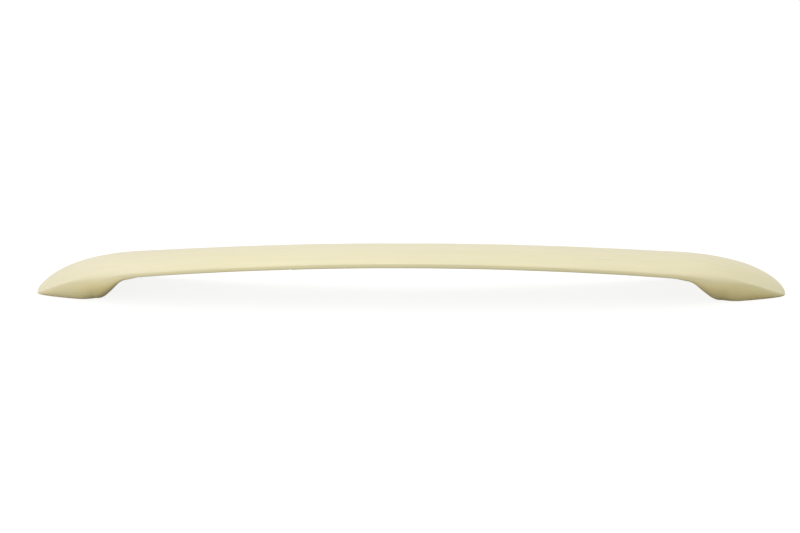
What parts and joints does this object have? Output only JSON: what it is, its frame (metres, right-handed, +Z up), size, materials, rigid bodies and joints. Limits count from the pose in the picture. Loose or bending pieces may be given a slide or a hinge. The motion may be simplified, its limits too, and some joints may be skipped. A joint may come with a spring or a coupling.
{
  "type": "roof spoiler",
  "caption": "One-piece arched car roof spoiler with a rounded rear lip and pointed feet at its ends, undercut behind.",
  "frame": {"origin": "centre of the bounding box in plan, on the plane of the two bonding pads", "axes": "+X along the width from tip to tip, +Y to the front of the car, +Z up from the pads"},
  "size_m": [1.12, 0.1984, 0.078],
  "materials": {
    "moulding": "satin"
  },
  "bodies": {
    "root": {"spoiler": "moulding"}
  },
  "joints": []
}
